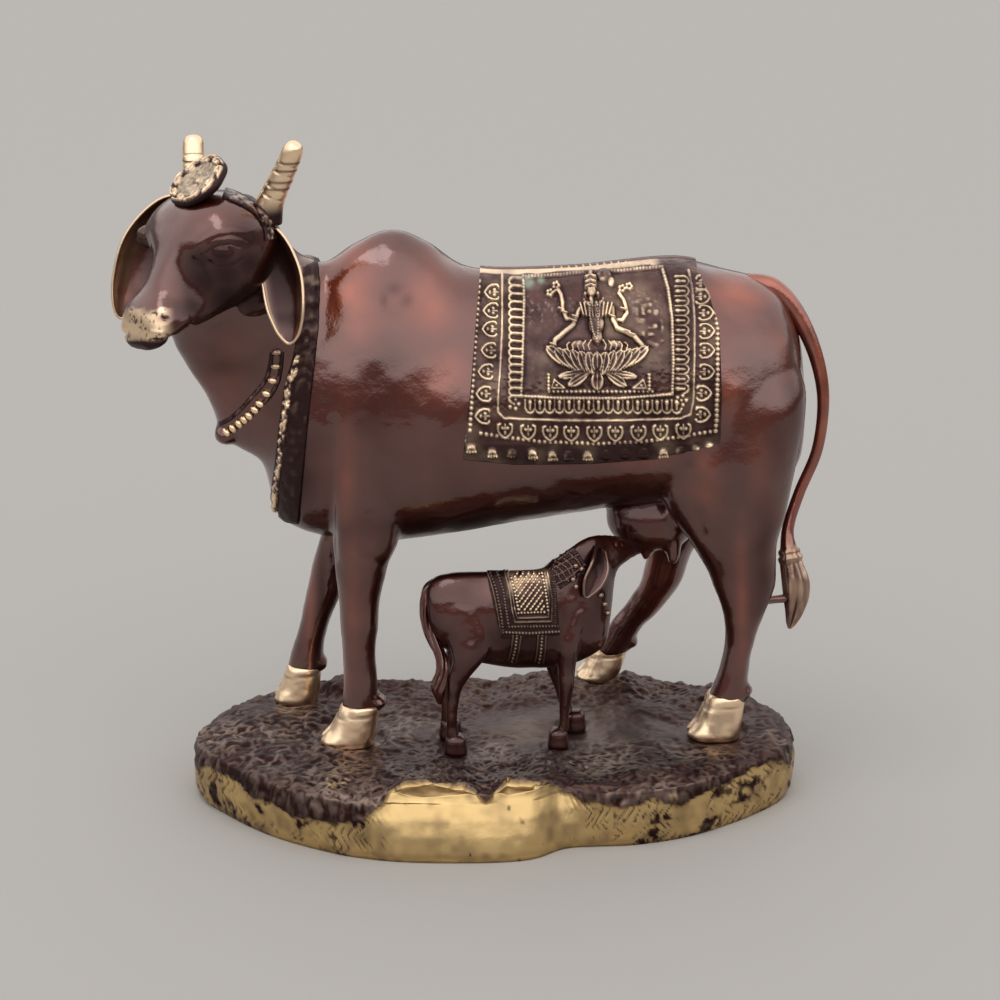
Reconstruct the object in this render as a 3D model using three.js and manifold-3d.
// A cast brass cow that lets her calf drink, standing on a rocky oval ground. Millimetres, +Z up.
// The cow faces -X and turns her head towards -Y, which is the side that is seen first.
import * as THREE from "three";
import { mergeVertices } from "three/addons/utils/BufferGeometryUtils.js";
import Module from "manifold-3d";

const wasm = await Module();
wasm.setup();

// Driving dimensions
const GAP = 0.3; // between two castings that touch
const GROUND_TOP = 24.2; // the level that the hooves stand on
const CLEARANCE = GAP + 0.1; // round a facet's corners
const HOOF_FOOT = GROUND_TOP + GAP;
const HEAD_LENGTH = 69.5;
const HEAD_YAW = THREE.MathUtils.degToRad(47); // from -X towards -Y
const HEAD_PITCH = THREE.MathUtils.degToRad(44); // nose below the poll
const HEAD_ROLL = THREE.MathUtils.degToRad(7); // near side up
const POLL = new THREE.Vector3(-97.5, 8, 243);
const GROUND_MIDDLE_Y = 5;
const HORN_RADIUS = 4.2;
const EAR_WIDTH = 16;
const CLOTH_THICKNESS = 1.3;
const RELIEF = 1.0; // how far the cloth's frames stand off the cloth
const BEAD_RADIUS = 1.9;

const BRASS_LACQUER = { color: 0x5b2c22, roughness: 0.3, metalness: 0.8 };
const BRASS_GROUND = { color: 0x8a7040, roughness: 0.5, metalness: 0.8 };

const point = (x, y, z) => new THREE.Vector3(x, y, z);
const NEAR_SIDE = point(0, -1, 0);
const UPWARDS = point(0, 0, 1);

// Solids

function solid(points, faces) {
  const vertProperties = new Float32Array(points.flatMap((p) => [p.x, p.y, p.z]));
  const build = (list) =>
    new wasm.Manifold(
      new wasm.Mesh({ numProp: 3, vertProperties, triVerts: new Uint32Array(list.flat()) }),
    );
  const made = build(faces);
  return made.volume() > 0 ? made : build(faces.map(([a, b, c]) => [a, c, b]));
}

function solidOf(geometry) {
  const bare = geometry.clone();
  bare.deleteAttribute("normal");
  bare.deleteAttribute("uv");
  const merged = mergeVertices(bare, 1e-4);
  const place = merged.getAttribute("position");
  const points = Array.from({ length: place.count }, (_, i) => point().fromBufferAttribute(place, i));
  const faces = [];
  for (let i = 0; i < merged.index.count; i += 3) {
    faces.push([0, 1, 2].map((k) => merged.index.getX(i + k)));
  }
  return solid(points, faces);
}

function geometryOf(made) {
  const mesh = made.getMesh();
  const geometry = new THREE.BufferGeometry();
  geometry.setAttribute("position", new THREE.BufferAttribute(mesh.vertProperties, 3));
  geometry.setIndex(new THREE.BufferAttribute(mesh.triVerts, 1));
  const flat = geometry.toNonIndexed();
  flat.computeVertexNormals();
  return flat;
}

const join = (parts) => parts.reduce((sum, part) => sum.add(part));

// Lofts

const catmull = (a, b, c, d, t) =>
  0.5 * (2 * b + (c - a) * t + (2 * a - 5 * b + 4 * c - d) * t ** 2 + (3 * b - a - 3 * c + d) * t ** 3);

// Rows of numbers with more rows between them, so that each column runs on one smooth curve.
function smooth(rows, steps) {
  const at = (i) => rows[THREE.MathUtils.clamp(i, 0, rows.length - 1)];
  const between = rows.slice(1).flatMap((_, i) =>
    Array.from({ length: steps }, (_, k) =>
      rows[0].map((_, c) => catmull(at(i - 1)[c], at(i)[c], at(i + 1)[c], at(i + 2)[c], k / steps)),
    ),
  );
  return [...between, rows[rows.length - 1]];
}

// A closed ring: `rise` is half its height, `side` half its width, and `pear` widens its lower half.
function ring(middle, rise, side, { around = 20, square = 1, pear = 0 } = {}) {
  const bend = (v) => Math.sign(v) * Math.abs(v) ** square;
  return Array.from({ length: around }, (_, i) => {
    const turn = (2 * Math.PI * i) / around;
    const up = bend(Math.cos(turn));
    const out = bend(Math.sin(turn)) * (1 - pear * Math.cos(turn));
    return middle.clone().addScaledVector(rise, up).addScaledVector(side, out);
  });
}

const centreOf = (ringPoints) =>
  ringPoints.reduce((sum, p) => sum.add(p), point()).divideScalar(ringPoints.length);

// The closed skin over a row of rings, with a fan over each end.
function skin(rings) {
  const around = rings[0].length;
  const points = [...rings.flat(), centreOf(rings[0]), centreOf(rings[rings.length - 1])];
  const [first, last] = [points.length - 2, points.length - 1];
  const faces = [];
  for (let j = 0; j < around; j++) {
    const next = (j + 1) % around;
    for (let i = 0; i < rings.length - 1; i++) {
      const [a, b] = [i * around + j, i * around + next];
      faces.push([a, a + around, b], [b, a + around, b + around]);
    }
    const end = (rings.length - 1) * around;
    faces.push([first, j, next], [last, end + next, end + j]);
  }
  return solid(points, faces);
}

// Ribs stand across a body: high x, z, low x, z, middle y, half width, turn in degrees, pear.
function ribs(rows, { grow = 0, around = 24, square = 1 } = {}) {
  return rows.map(([highX, highZ, lowX, lowZ, y, half, turn = 0, pear = 0]) => {
    const high = point(highX, y, highZ);
    const low = point(lowX, y, lowZ);
    const rise = high.clone().sub(low).divideScalar(2);
    const middle = high.add(low).divideScalar(2);
    rise.setLength(rise.length() + grow);
    const heading = THREE.MathUtils.degToRad(turn);
    const side = point(Math.sin(heading), -Math.cos(heading), 0).multiplyScalar(half + grow);
    return ring(middle, rise, side, { around, square, pear });
  });
}

// Slices lie across a leg: z, front x, back x, middle y, half width.
function slices(rows, { around = 8, square = 1 } = {}) {
  return rows.map(([z, front, back, y, half]) =>
    ring(
      point((front + back) / 2, y, z),
      point((back - front) / 2, 0, 0),
      point(0, half, 0),
      { around, square },
    ),
  );
}

// A round tube through the points, with a radius at each of them, and round ends.
function tube(points, radii, { around = 8, steps = 3, flat = 1, across = NEAR_SIDE } = {}) {
  const rows = smooth(points.map((p, i) => [p.x, p.y, p.z, radii[i]]), steps);
  const centres = rows.map(([x, y, z]) => point(x, y, z));
  return skin(
    rows.map(([, , , radius], i) => {
      const before = centres[Math.max(i - 1, 0)];
      const after = centres[Math.min(i + 1, centres.length - 1)];
      const along = after.clone().sub(before).normalize();
      const side = across.clone().addScaledVector(along, -across.dot(along)).normalize();
      const rise = along.clone().cross(side);
      return ring(centres[i], rise.setLength(radius), side.setLength(radius * flat), { around });
    }),
  );
}

function ball(middle, radii, detail = 10) {
  const geometry = new THREE.SphereGeometry(1, detail, Math.ceil(detail * 0.6));
  geometry.scale(radii.x, radii.y, radii.z).translate(middle.x, middle.y, middle.z);
  return solidOf(geometry);
}

const shapeOf = (outline) => new THREE.Shape(outline.map(([x, z]) => new THREE.Vector2(x, z)));

const ellipse = (x, z, radiusX, radiusZ, turn = 0) =>
  new THREE.Shape().absellipse(x, z, radiusX, radiusZ, 0, 2 * Math.PI, false, turn);

// An outline in x and z, extruded from `fromY` to `toY`.
function prism(outline, fromY, toY) {
  const shape = outline instanceof THREE.Shape ? outline : shapeOf(outline);
  const geometry = new THREE.ExtrudeGeometry(shape, {
    depth: toY - fromY,
    bevelEnabled: false,
    curveSegments: 3,
  });
  geometry.rotateX(Math.PI / 2).translate(0, toY, 0);
  return solidOf(geometry);
}

// The cow's trunk and neck

// High x, z, low x, z, middle y, half width, turn, pear. From the rump to behind the cheeks.
const TRUNK = [
  [117.6, 170, 119.6, 154, 30.3, 6, 0, 0],
  [115.6, 181, 119.4, 143, 30.2, 14, 0, 0],
  [108.6, 195, 116.2, 126, 29.8, 24, 0, 0],
  [98.9, 201, 103.2, 114.3, 29, 31, 0, 0.05],
  [84.4, 205.2, 83.7, 112.5, 28, 34.5, 0, 0.08],
  [66.2, 208.8, 62.1, 114, 26.7, 36, 0, 0.08],
  [28, 205.8, 24.9, 109.6, 24.1, 36.5, 0, 0.09],
  [-8.5, 206.6, -12.6, 103.8, 21.5, 35.5, 0, 0.14],
  [-25, 217, -30, 101.6, 20.2, 33, 0, 0.22],
  [-38.5, 222.6, -46.4, 100.2, 19.1, 31, 0, 0.26],
  [-52.4, 217.3, -63.8, 102, 18, 29, 2, 0.22],
  [-63, 209.6, -83, 111, 17, 25.5, 5, 0.12],
  [-68, 211.5, -89, 132, 15.5, 21.5, 10, 0],
  [-72.6, 214.4, -103, 143, 13, 17.5, 16, -0.15],
  [-78, 219.6, -109, 160, 9, 15.5, 25, -0.15],
  [-86, 222, -116, 175.4, 3, 14, 36, -0.1],
  [-96, 221, -121, 192, -6, 11, 45, 0],
];
const TRUNK_STEPS = 2;
const trunk = (grow = 0) => skin(ribs(smooth(TRUNK, TRUNK_STEPS), { grow, around: 14 }));

// Legs: z, front x, back x, middle y, half width. From inside the body to the foot.

const NEAR_FRONT_LEG = [
  [189, -58, -32, 8, 11],
  [154, -66, -33, 3, 14],
  [130, -64, -35, 1, 13.5],
  [108, -62, -36.5, -1, 12],
  [96, -60.8, -41, -2, 10],
  [82, -59.4, -44.4, -2.4, 8],
  [72, -59.2, -44.6, -2.6, 7.8],
  [62, -58.2, -46, -2.8, 6.6],
  [50, -58.2, -45.4, -3, 6.6],
  [37.5, -60, -44.2, -3, 7.4],
];
const FAR_FRONT_LEG = [
  [150, -58, -30, 30, 14],
  [120, -62, -36, 35, 13],
  [100, -67, -50, 39, 9.5],
  [82, -72.4, -57.8, 41, 8],
  [70, -75.4, -61, 41, 7.4],
  [60, -77.2, -65, 41, 6.6],
  [50, -79.9, -68, 41, 6.6],
  [37, -83.6, -69, 41, 7.4],
];
const NEAR_HIND_LEG = [
  [186, 76, 108, 20, 13],
  [172, 68, 115, 16, 15.5],
  [158, 63, 118.4, 12, 17],
  [137, 62, 115.6, 9, 17],
  [121, 64, 112.3, 7, 14.5],
  [112, 68, 110.6, 6, 12.5],
  [103, 75, 108.4, 5, 10.5],
  [94, 80.4, 108.4, 4.6, 8.6],
  [86, 83.6, 108, 4.2, 7.8],
  [75, 87.6, 104.2, 4, 7.2],
  [64, 88.6, 100.8, 4, 6.6],
  [51, 86.4, 98.8, 4, 6.8],
  [38.5, 82, 97.4, 4, 7.6],
];
const FAR_HIND_LEG = [
  [150, 64, 112, 36, 18],
  [125, 62, 104, 44, 15],
  [104, 61, 94, 49, 11.5],
  [86, 61, 80.5, 53, 8.8],
  [70, 59, 75.2, 56.5, 7.6],
  [62, 55, 71, 59, 7],
  [54, 50, 65.4, 61, 6.8],
  [47, 45.4, 60, 63, 6.8],
  [35.5, 39.4, 54.4, 65.5, 7.6],
];

// A cloven hoof: a flared foot with a flat sole, and a cleft cut into its toe.
function hoof({ toe, heel, y, half, top, topToe, topHeel, foot = HOOF_FOOT, cleft = 1.1, around = 8 }) {
  const height = top - foot;
  const body = skin(
    slices(
      [
        [top + height * 0.12, topToe + 1.4, topHeel - 1, y, half * 0.68],
        [top, topToe, topHeel, y, half * 0.8],
        [foot + height * 0.45, (topToe + toe) / 2, (topHeel + heel) / 2, y, half * 0.93],
        [foot + height * 0.12, toe, heel, y, half],
        [foot, toe + 0.6, heel - 0.4, y, half * 0.96],
      ],
      { around, square: 0.8 },
    ),
  );
  if (!cleft) return body;
  const length = heel - toe;
  const slot = [
    [toe - 2, foot - 1],
    [toe + length * 0.3, foot - 1],
    [toe + length * 0.22, foot + height * 0.6],
    [toe - 2, top],
  ];
  return body.subtract(prism(slot, y - cleft / 2, y + cleft / 2));
}

const COW_HOOVES = [
  { toe: -67.4, heel: -46.4, y: -3, half: 9.4, top: 39, topToe: -59.6, topHeel: -44.6 },
  { toe: -88.6, heel: -71, y: 41, half: 9, top: 38.6, topToe: -83.4, topHeel: -69.4 },
  { toe: 75, heel: 95.8, y: 4, half: 9.4, top: 40.5, topToe: 82.4, topHeel: 97 },
  { toe: 33.2, heel: 50.4, y: 66, half: 9, top: 37, topToe: 39.6, topHeel: 54 },
];

// The pair of dewclaws behind each fetlock, as one broad lump.
const DEWCLAWS = [
  [-44, -3, 41],
  [-69, 41, 40],
  [98, 4, 43],
  [56.5, 65, 40],
];

const cowLegs = () => [
  ...[NEAR_FRONT_LEG, FAR_FRONT_LEG, NEAR_HIND_LEG, FAR_HIND_LEG].map((rows) => skin(slices(rows))),
  ...COW_HOOVES.map(hoof),
  ...DEWCLAWS.map(([x, y, z]) => ball(point(x, y, z), point(2.2, 5, 2.6), 5)),
];

// The cow's head, in its own frame: forward along the face, up off the forehead, left to her left.

const HEAD = (() => {
  const [cosYaw, sinYaw] = [Math.cos(HEAD_YAW), Math.sin(HEAD_YAW)];
  const [cosPitch, sinPitch] = [Math.cos(HEAD_PITCH), Math.sin(HEAD_PITCH)];
  const forward = point(-cosYaw * cosPitch, -sinYaw * cosPitch, -sinPitch);
  const up = point(-cosYaw * sinPitch, -sinYaw * sinPitch, cosPitch).applyAxisAngle(forward, HEAD_ROLL);
  const left = point(sinYaw, -cosYaw, 0).applyAxisAngle(forward, HEAD_ROLL);
  return { forward, up, left };
})();

const onHead = (forward, up, left) =>
  POLL.clone()
    .addScaledVector(HEAD.forward, forward)
    .addScaledVector(HEAD.up, up)
    .addScaledVector(HEAD.left, left);

// How far along the face, its top and underside off the axis, half width, and pear.
const FACE = [
  [-7, -8, -18, 7, 0],
  [-3, -3.5, -23, 13, 0],
  [4, 1.5, -27, 17, 0],
  [12, 6.5, -30, 20, 0],
  [22, 9.6, -31, 21.5, 0],
  [31, 9, -29, 20.5, -0.05],
  [41, 6.6, -23.5, 13, 0.1],
  [51, 4.8, -18.5, 11.8, 0.1],
  [59, 3.8, -16.4, 14.8, 0],
  [65, 0.6, -14, 14.6, 0],
  [HEAD_LENGTH, -4.6, -11, 8.8, 0],
];

function face() {
  const rings = smooth(FACE, 1).map(([forward, high, low, half, pear]) =>
    ring(
      onHead(forward, (high + low) / 2, 0),
      HEAD.up.clone().multiplyScalar((high - low) / 2),
      HEAD.left.clone().multiplyScalar(half),
      { around: 16, square: 0.9, pear },
    ),
  );
  const brow = [-1, 1].map((side) => ball(onHead(30, 0.6, 18.4 * side), point(4.6, 4.4, 4.2), 5));
  const nostril = [-1, 1].map((side) => ball(onHead(65.5, -2.6, 7.4 * side), point(2.4, 2.2, 2), 5));
  const mouth = [-1, 1].map((side) =>
    tube(
      [onHead(70, -10, 2.4 * side), onHead(63, -10.4, 14.4 * side), onHead(52, -11, 13 * side)],
      [0.9, 1, 0.5],
      { around: 5, steps: 2 },
    ),
  );
  return join([skin(rings), ...brow]).subtract(join([...nostril, ...mouth]));
}

// A horn with grooves turned round it, from the side of the poll upwards.
const HORNS = [
  [point(-84, -4, 232), point(-81.6, -5, 239), point(-76, -8, 251), point(-71.6, -11, 261.8)],
  [point(-108, 17, 233), point(-111.4, 19, 243), point(-112.4, 22, 250), point(-112.3, 25, 257)],
];

function horn(route) {
  const rows = smooth(route.map((p) => [p.x, p.y, p.z]), 3);
  const points = rows.map(([x, y, z]) => point(x, y, z));
  const radii = rows.map((_, i) => {
    const along = i / (rows.length - 1);
    const tip = Math.sqrt(Math.max(0.02, 1 - Math.max(0, (along - 0.86) / 0.14) ** 2));
    const cut = along > 0.4 && along < 0.9 && i % 2 === 0 ? 0.84 : 1;
    return HORN_RADIUS * (1.08 - 0.1 * along) * tip * cut;
  });
  return tube(points, radii, { around: 7, steps: 1 });
}

// A drooping ear: a cupped leaf along a curve, open towards `opening`.
function ear({ route, widths, opening, steps = 2 }, cup) {
  const rows = smooth(route.map((p, i) => [p.x, p.y, p.z, widths[i]]), steps);
  const centres = rows.map(([x, y, z]) => point(x, y, z));
  const across = 4;
  return skin(
    rows.map(([, , , width], i) => {
      const before = centres[Math.max(i - 1, 0)];
      const after = centres[Math.min(i + 1, rows.length - 1)];
      const along = after.clone().sub(before).normalize();
      const front = opening.clone().addScaledVector(along, -opening.dot(along)).normalize();
      const side = along.clone().cross(front);
      const back = Array.from({ length: across + 1 }, (_, k) => (2 * k) / across - 1);
      const place = (s, depth) =>
        centres[i].clone().addScaledVector(side, (s * width) / 2).addScaledVector(front, depth);
      const depth = (s) => (-cup * (1 - s * s) * width) / EAR_WIDTH;
      const inside = back.slice(1, -1).reverse().map((s) => place(s, depth(s)));
      return [...back.map((s) => place(s, depth(s) - 1.6)), place(1, 0.4), ...inside, place(-1, 0.4)];
    }),
  );
}

const EARS = [
  {
    route: [point(-92, -2, 226), point(-84, -7, 223), point(-78.5, -13, 212), point(-76.5, -18, 200), point(-75, -20.5, 189.6)],
    widths: [9, 15, EAR_WIDTH, 13, 2.5],
    opening: point(-0.35, -0.9, 0.2),
  },
  {
    route: [point(-113, 12, 232), point(-121, 13.5, 229), point(-130.5, 12, 218), point(-137, 10, 205), point(-140.5, 8, 192)],
    widths: [8, 14, EAR_WIDTH + 1, 14, 2.5],
    opening: point(0.1, -0.97, 0.2),
  },
];

// A medallion on the poll: petals inside a rim, on a short hub. Radius, height and depth of the petals.
const MEDALLION = [
  [4, -11, 0],
  [4, -3.6, 0],
  [11, -3.4, 0],
  [12.6, 0.6, 0],
  [9.6, 0.8, 0],
  [8, 2.6, 0.14],
  [3.4, 1.4, 0],
  [2.2, 3.8, 0],
];
const PETALS = 8;

function medallion() {
  const centre = point(-108.6, -2, 245.4);
  const facing = point(-0.42, -0.5, 0.75).normalize();
  const side = UPWARDS.clone().cross(facing).normalize();
  const rise = facing.clone().cross(side);
  return skin(
    MEDALLION.map(([radius, height, petal]) =>
      Array.from({ length: 2 * PETALS }, (_, i) => {
        const turn = (Math.PI * i) / PETALS;
        const reach = radius * (1 + petal * Math.cos(PETALS * turn));
        const middle = centre.clone().addScaledVector(facing, height);
        return middle
          .addScaledVector(side, reach * Math.cos(turn))
          .addScaledVector(rise, reach * Math.sin(turn));
      }),
    ),
  );
}

const cowHead = () => [
  face(),
  ...HORNS.map(horn),
  ...EARS.map((shape) => ear(shape, 3.6)),
  medallion(),
  tube(
    [onHead(3, -1.4, -13), onHead(3, 0.4, -6), onHead(3, 0.4, 6), onHead(3.4, -2, 14), onHead(5, -10, 18.4)],
    [2, 2.2, 2.2, 2, 1.6],
    { around: 5, steps: 1, across: HEAD.forward },
  ),
];

// Garlands on the neck: a band of the grown neck between two edges, and a string of beads.

// Both edges of the long garland, as seen from the side: x, z.
const GARLAND_FRONT = [
  [-77, 222],
  [-73, 208],
  [-73.6, 190],
  [-77, 172],
  [-79.6, 156],
  [-81.6, 140],
  [-83.6, 122],
  [-85, 104],
];
const GARLAND_WIDTH = 9;
const SHORT_GARLAND = [
  [-81, 181],
  [-82.4, 171],
  [-86, 163],
  [-92, 156.5],
  [-100.5, 149],
];
const BEADS = 10;
const BEAD_RELIEF = 1.5;
const NECK_SIDES = [-40, 70]; // y on both sides, clear of the neck

const curveOf = (line) => new THREE.SplineCurve(line.map(([x, z]) => new THREE.Vector2(x, z)));

function longGarland() {
  const front = curveOf(GARLAND_FRONT).getPoints(7);
  const edge = (shift) => front.map((p) => [p.x + shift, p.y]);
  const strip = (from, to) => [...edge(from), ...edge(to).reverse()];
  return [
    trunk(1.6).intersect(prism(strip(0, GARLAND_WIDTH), ...NECK_SIDES)),
    trunk(2.8).intersect(prism(strip(-0.6, 2.4), ...NECK_SIDES)),
  ];
}

// Beads hang on the near side of the neck, with a bell under the dewlap.
function beadString() {
  const cut = (x, z) => [
    [x - BEAD_RADIUS, z],
    [x, z - BEAD_RADIUS],
    [x + BEAD_RADIUS, z],
    [x, z + BEAD_RADIUS],
  ];
  const places = curveOf(SHORT_GARLAND).getSpacedPoints(BEADS);
  const beads = places.map(({ x, y }) => prism(cut(x, y), NECK_SIDES[0], POLL.y));
  return [
    trunk(BEAD_RELIEF).intersect(join(beads)),
    ball(point(-102.4, 13, 144.6), point(4.4, 3.6, 4), 7),
  ];
}

// The cloth over the cow's back, seen from the side: x, z.

const CLOTH = { left: -11.5, right: 84, low: 141, ridge: 216 };
const FRINGE = { tassels: 14, drop: 3.4 };
const PANEL = { left: 10.5, right: 66.5, low: 167.5 };
const SPINE_Y = 24;
const CLOTH_LEAN = 5; // the left edge leans back by this much towards the ridge

// A rectangle of the cloth with its corners moved in from the hem by `inset`.
function clothOutline(left, right, low, inset = 0) {
  return [
    [left + inset, low + inset],
    [left + inset + CLOTH_LEAN * 0.6, 178],
    [left + inset + CLOTH_LEAN, CLOTH.ridge],
    [right - inset - CLOTH_LEAN, CLOTH.ridge],
    [right - inset, 178],
    [right - inset, low + inset],
  ];
}

function frame(left, right, low, width) {
  const outer = new THREE.Shape(clothOutline(left, right, low).map(([x, z]) => new THREE.Vector2(x, z)));
  const inner = clothOutline(left, right, low, width).map(([x, z]) => new THREE.Vector2(x, z));
  inner[2].y -= 1;
  inner[3].y -= 1;
  outer.holes.push(new THREE.Path(inner.reverse()));
  return outer;
}

// The seated figure on a lotus in the panel, as flat shapes that the relief is cut from.
function lotusFigure() {
  const x = 37.5;
  const fan = (count, spread, z, length, width) =>
    Array.from({ length: count }, (_, i) => {
      const turn = (i / (count - 1) - 0.5) * spread;
      return ellipse(x + Math.sin(turn) * length, z + Math.cos(turn) * length * 0.55 - 4, width, length * 0.36, -turn);
    });
  return {
    low: [...fan(5, 2.6, 178, 15, 4), ellipse(x, 172.5, 9, 2.6)],
    middle: [
      ellipse(x, 187.5, 13, 3.4),
      ellipse(x, 195, 4.6, 6.4),
      ellipse(x - 8.5, 190.5, 1.8, 6.6, -0.9),
      ellipse(x + 8.5, 190.5, 1.8, 6.6, 0.9),
      ellipse(x - 8.5, 199.5, 1.7, 6.4, 0.95),
      ellipse(x + 8.5, 199.5, 1.7, 6.4, -0.95),
      ellipse(x - 13.5, 203, 2.4, 2.8),
      ellipse(x + 13.5, 203, 2.4, 2.8),
    ],
    high: [ellipse(x, 204.5, 3.4, 4.2)],
  };
}

function cowCloth() {
  const { left, right, low } = CLOTH;
  const tasselWidth = (right - left) / FRINGE.tassels;
  const fringe = Array.from({ length: FRINGE.tassels }, (_, i) => {
    const middle = left + (i + 0.5) * tasselWidth;
    return [
      [middle - tasselWidth * 0.32, low - FRINGE.drop],
      [middle + tasselWidth * 0.32, low - FRINGE.drop],
      [middle + tasselWidth * 0.5, low],
    ];
  }).flat();
  const hem = [[left, low], ...fringe.slice(0, -1), ...clothOutline(left, right, low).slice(1).reverse()];
  const figure = lotusFigure();
  const onNearSide = (shapes, stand) =>
    trunk(CLOTH_THICKNESS + stand).intersect(join(shapes.map((shape) => prism(shape, -60, SPINE_Y))));
  return [
    onNearSide([hem], 0),
    trunk(CLOTH_THICKNESS).intersect(prism(clothOutline(left, right, low - FRINGE.drop), SPINE_Y - 1, 90)),
    onNearSide([frame(left + 1, right - 1, low + 1, 1.4)], RELIEF),
    onNearSide([frame(PANEL.left - 1.4, PANEL.right + 1.4, PANEL.low - 1.4, 1.4)], RELIEF),
    onNearSide(figure.low, 1.3),
    onNearSide(figure.middle, 2),
    onNearSide(figure.high, 3),
  ];
}

// The udder with four teats, and the tail with its tuft.

const TEATS = [
  [58.6, 18.5, 94.5],
  [69, 16.5, 94],
  [58, 32, 94.5],
  [69, 33, 94],
];
const bag = (grow = 0) => ball(point(61, 25, 107), point(18 + grow, 15 + grow, 13.5 + grow), 8);
const teat = ([x, y, z], grow = 0) => {
  const route = [point(x, y, z + 9), point(x, y, z + 2), point(x, y, z - 3.4 - grow)];
  return tube(route, [3.2 + grow, 2.6 + grow, 1.7 + grow], { around: 6, steps: 1 });
};

const cowUdder = () => [bag(), ...TEATS.map((place) => teat(place))];

// Centre line x, y, z and radius of the tail and its tuft.
const TAIL = [
  [96, 29, 198, 5],
  [105, 29, 197, 4.4],
  [113.4, 28.6, 189.6, 3.6],
  [120.6, 27.6, 177, 3],
  [125.4, 26, 163, 2.6],
  [126.6, 24, 150, 2.3],
  [123.8, 22, 134, 2.2],
  [117.4, 20, 118, 2.2],
  [113.2, 17, 104, 2.4],
  [114.2, 14, 93, 3.8],
  [116.6, 12.4, 83, 5],
  [116.4, 12, 74, 3.6],
  [114.6, 12, 65.4, 0.8],
];

const cowTail = () => [
  tube(TAIL.map(([x, y, z]) => point(x, y, z)), TAIL.map((row) => row[3]), { around: 7, steps: 1, flat: 0.8 }),
  tube([point(103, 6, 79), point(114, 12, 78)], [1.8, 1.8], { around: 6, steps: 1, across: UPWARDS }),
];

function cow() {
  return join([trunk(), ...cowLegs(), ...cowHead(), ...longGarland(), ...beadString(), ...cowCloth(), ...cowUdder(), ...cowTail()]);
}

// The calf, facing +X, with her muzzle at the near front teat.

// High x, z, low x, z, middle y, half width, turn, pear.
const CALF_TRUNK = [
  [-26.4, 87, -25.6, 77, -7, 3.4, 0, 0],
  [-24.5, 92, -23, 68, -7, 7.6, 0, 0],
  [-17, 94.6, -14, 61.5, -6.8, 9.6, 0, 0.05],
  [-2, 94.8, -3, 57.6, -5.4, 10.2, 0, 0.1],
  [10, 94.4, 10, 55.6, -4, 10.4, 0, 0.12],
  [18.4, 95, 22, 55.4, -2.6, 10, 0, 0.1],
  [23, 98.6, 33, 57.4, -1.6, 9, 0, 0.05],
  [28, 102, 42, 63, 0, 7.4, -5, 0],
  [33, 105, 44.6, 74, 2, 6.4, -12, 0],
  [38.4, 105.8, 45.4, 84, 5, 5.6, -22, 0],
  [43.6, 104.8, 47, 90.6, 8.6, 5, -32, 0],
  [50, 102.6, 52.4, 93.6, 12.6, 4, -36, 0],
  [55.6, 99.8, 56.6, 94.4, 16.2, 3.6, -38, 0],
  [57, 98.4, 57.6, 95.4, 17.4, 2.2, -38, 0],
];
const calfTrunk = (grow = 0) => skin(ribs(CALF_TRUNK, { grow, around: 10 }));

// z, front x, back x, middle y, half width; the calf's front is towards +X.
const CALF_LEGS = [
  [
    [84, -20, -4, -10, 6],
    [74, -19.6, -1, -12, 5.6],
    [67, -17, -1.6, -14, 5],
    [62, -16, -4.5, -15, 4.2],
    [57, -17.6, -8.6, -15.6, 3.4],
    [51, -18, -12.4, -15.6, 2.7],
    [44, -18.4, -13.8, -15.6, 2.4],
    [36, -18.6, -14.2, -15.6, 2.4],
    [31, -18.8, -13.4, -15.6, 2.9],
  ],
  [
    [80, -20, -4, -2, 6],
    [67, -18, -4, 0, 5],
    [57, -19.6, -10, 1.4, 3.4],
    [50, -20.4, -14.6, 1.6, 2.7],
    [40, -20.8, -16.2, 1.6, 2.4],
    [31, -21, -15.6, 1.6, 2.9],
  ],
  [
    [80, 22, 36, -5, 4.6],
    [67, 23.6, 32.4, -8.6, 4.2],
    [60, 23.8, 31.4, -8.8, 3.6],
    [49, 24.6, 30.2, -9, 3],
    [40, 24.8, 28.8, -9, 2.4],
    [34, 24.4, 28.6, -9, 2.5],
    [31, 23.6, 28.4, -9, 2.9],
  ],
  [
    [70, 22, 32, 4, 4.6],
    [58, 18.6, 28, 8.4, 3.8],
    [50, 20, 27.4, 9.6, 3.2],
    [40, 23.6, 28.6, 9.8, 2.5],
    [30, 26.6, 31, 9.8, 2.8],
  ],
];

const CALF_HOOVES = [
  { toe: -10.8, heel: -19.2, y: -15.6 },
  { toe: -13, heel: -21.4, y: 1.6 },
  { toe: 20.6, heel: 28.2, y: -9 },
  { toe: 35.4, heel: 27, y: 9.8 },
].map(({ toe, heel, y }) => {
  const [low, high] = [Math.min(toe, heel), Math.max(toe, heel)];
  return { toe: low, heel: high, y, half: 3.9, top: 31, topToe: low + 1, topHeel: high - 1, cleft: 0, around: 6 };
});

// The calf's ears hang beside the neck, open outwards.
const CALF_EARS = [
  [point(40.5, 2, 102), point(40, -5, 97), point(37.2, -8, 91), point(34.6, -8.6, 85.6)],
  [point(36, 4.6, 101), point(34, 11, 96.4), point(31.6, 15, 91), point(30, 15.6, 86)],
].map((route, i) => ({
  route,
  widths: [4, 7.6, 7.4, 1.6],
  opening: point(i === 0 ? 0.4 : -0.4, i === 0 ? -0.9 : 0.9, 0.1),
  steps: 1,
}));

const CALF_CLOTH = { left: -1, right: 24.6, low: 67, ridge: 100 };
const CALF_TAIL = [
  [-20, -7, 91.5, 2],
  [-25.4, -7.4, 88.4, 2],
  [-27, -9, 81, 1.8],
  [-25.6, -11, 72, 1.7],
  [-21.6, -13, 63.6, 1.6],
  [-20.6, -14.6, 57.6, 1.8],
  [-22, -15, 51, 2.3],
  [-21.6, -15, 44.6, 0.7],
];

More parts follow.
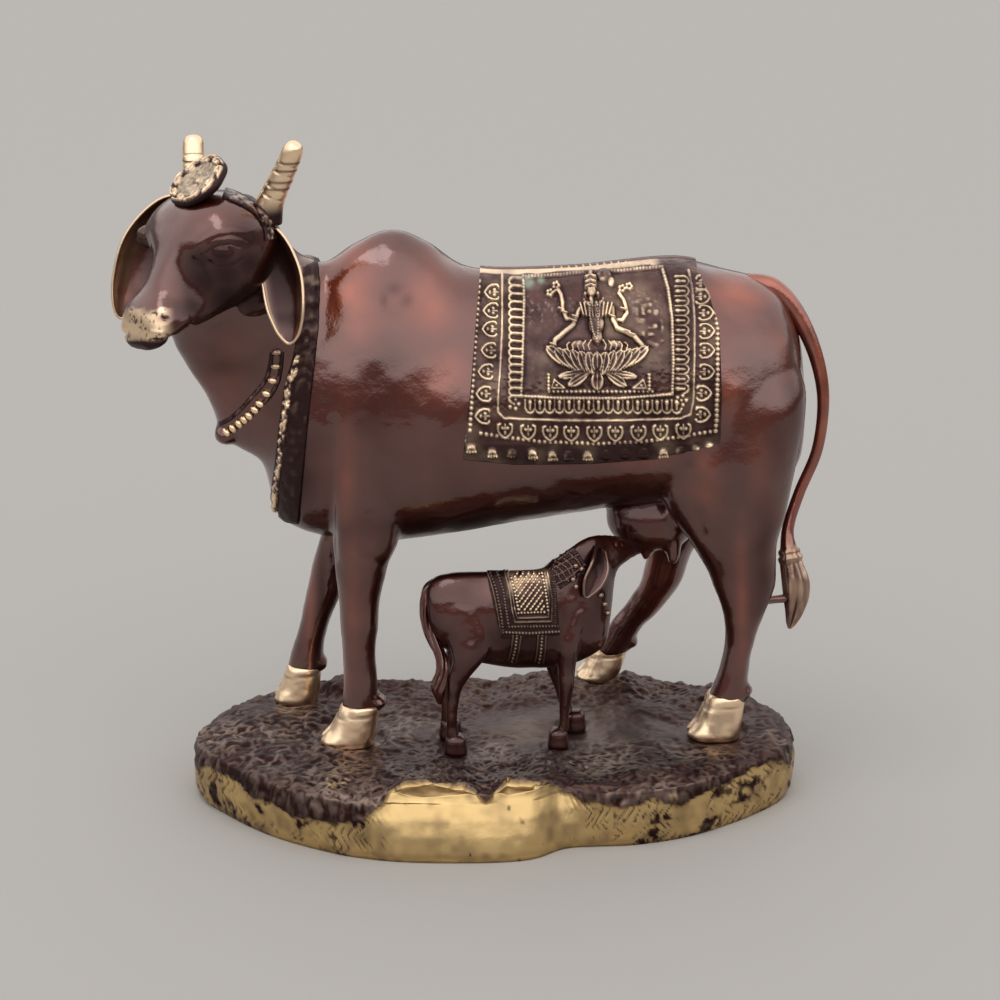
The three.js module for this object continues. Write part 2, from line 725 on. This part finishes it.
function calf() {
  const { left, right, low, ridge } = CALF_CLOTH;
  const sheet = [
    [left + 2, low],
    [left - 2.6, ridge],
    [right - 2, ridge],
    [right, low],
  ];
  const panel = [
    [left + 7, 79],
    [left + 5.4, ridge],
    [right - 6, ridge],
    [right - 5.4, 79],
  ];
  const strap = (x) => [
    [x, 50],
    [x, 70],
    [x + 2, 70],
    [x + 2, 50],
  ];
  const collar = [
    [30, 108],
    [27, 54],
    [29.2, 54],
    [32.2, 108],
  ];
  const wrap = (outlines, grow) =>
    calfTrunk(grow).intersect(join(outlines.map((outline) => prism(outline, -30, 30))));
  const body = join([
    calfTrunk(),
    ...CALF_LEGS.map((rows) => skin(slices(rows, { around: 6 }))),
    ...CALF_HOOVES.map(hoof),
    ...CALF_EARS.map((shape) => ear(shape, 2)),
    wrap([sheet], 0.9),
    wrap([panel, strap(8), strap(17.6), collar], 1.5),
    tube(CALF_TAIL.map(([x, y, z]) => point(x, y, z)), CALF_TAIL.map((row) => row[3]), { around: 5, steps: 1 }),
  ]);
  return body.subtract(join([bag(CLEARANCE), teat(TEATS[0], CLEARANCE)]));
}

// The ground: a lobed oval with a worn side, a rim, and a top of low humps under the grass.

// The rim from above, from the left end along the near side; the near middle stands out as a lobe.
const RIM = [
  [-118.5, -2],
  [-106, -21],
  [-88, -40],
  [-67, -54],
  [-46, -62.5],
  [-20, -65.5],
  [12, -63],
  [29, -51.5],
  [55, -48.5],
  [79, -39],
  [103, -20],
  [117.5, -1],
  [119, 24],
  [109, 45],
  [92, 58],
  [76, 66],
  [56, 75],
  [34, 72],
  [6, 70],
  [-18, 64],
  [-42, 61],
  [-68, 63],
  [-92, 54],
  [-109, 36],
  [-118, 17],
];

// Share of the rim's oval and height of each ring, from under the foot over the rim to the middle.
const GROUND_RINGS = [
  [0.975, 0],
  [0.995, 3],
  [1.0, 10],
  [0.992, 16],
  [0.965, 20],
  [0.9, 23],
  [0.8, GROUND_TOP],
  [0.5, GROUND_TOP],
];
const HUMP_FROM_RING = 6;

function hump(x, y) {
  return 1.1 + 0.6 * Math.sin(x / 7 + Math.cos(y / 9)) + 0.5 * Math.sin(y / 5 - x / 17);
}

function ground() {
  const around = 36;
  const rim = new THREE.SplineCurve([...RIM, RIM[0]].map(([x, y]) => new THREE.Vector2(x, y))).getPoints(around);
  const hooves = [...COW_HOOVES, ...CALF_HOOVES];
  const rings = GROUND_RINGS.map(([share, height], level) =>
    rim.slice(1).map((edge, i) => {
      const worn = level > 0 && level < 4 ? 1 + 0.006 * Math.sin(0.9 * i + 2.4 * level) : 1;
      const x = edge.x * share * worn;
      const y = GROUND_MIDDLE_Y + (edge.y - GROUND_MIDDLE_Y) * share * worn;
      return point(x, y, level >= HUMP_FROM_RING ? height + hump(x, y) : height);
    }),
  );
  const block = skin(rings);
  const wells = hooves.map(({ toe, heel, y, half }) => {
    const margin = 1.2;
    const well = new THREE.CylinderGeometry(1, 1, 20, 8).rotateX(Math.PI / 2);
    well.scale((heel - toe) / 2 + margin + 1, half + margin + 1, 1);
    return solidOf(well.translate((heel + toe) / 2, y, GROUND_TOP + 10));
  });
  return block.subtract(join(wells));
}

function casting(name, made, look) {
  const mesh = new THREE.Mesh(geometryOf(made), new THREE.MeshStandardMaterial(look));
  mesh.name = name;
  return mesh;
}

const statue = new THREE.Group();
statue.add(
  casting("base", ground(), BRASS_GROUND),
  casting("cow", cow(), BRASS_LACQUER),
  casting("calf", calf(), BRASS_LACQUER),
);

// The origin is under the middle of the whole statue.
const extent = new THREE.Box3().setFromObject(statue);
const middle = extent.getCenter(point());
statue.children.forEach((casting) => casting.geometry.translate(-middle.x, -middle.y, -extent.min.z));

export default statue;
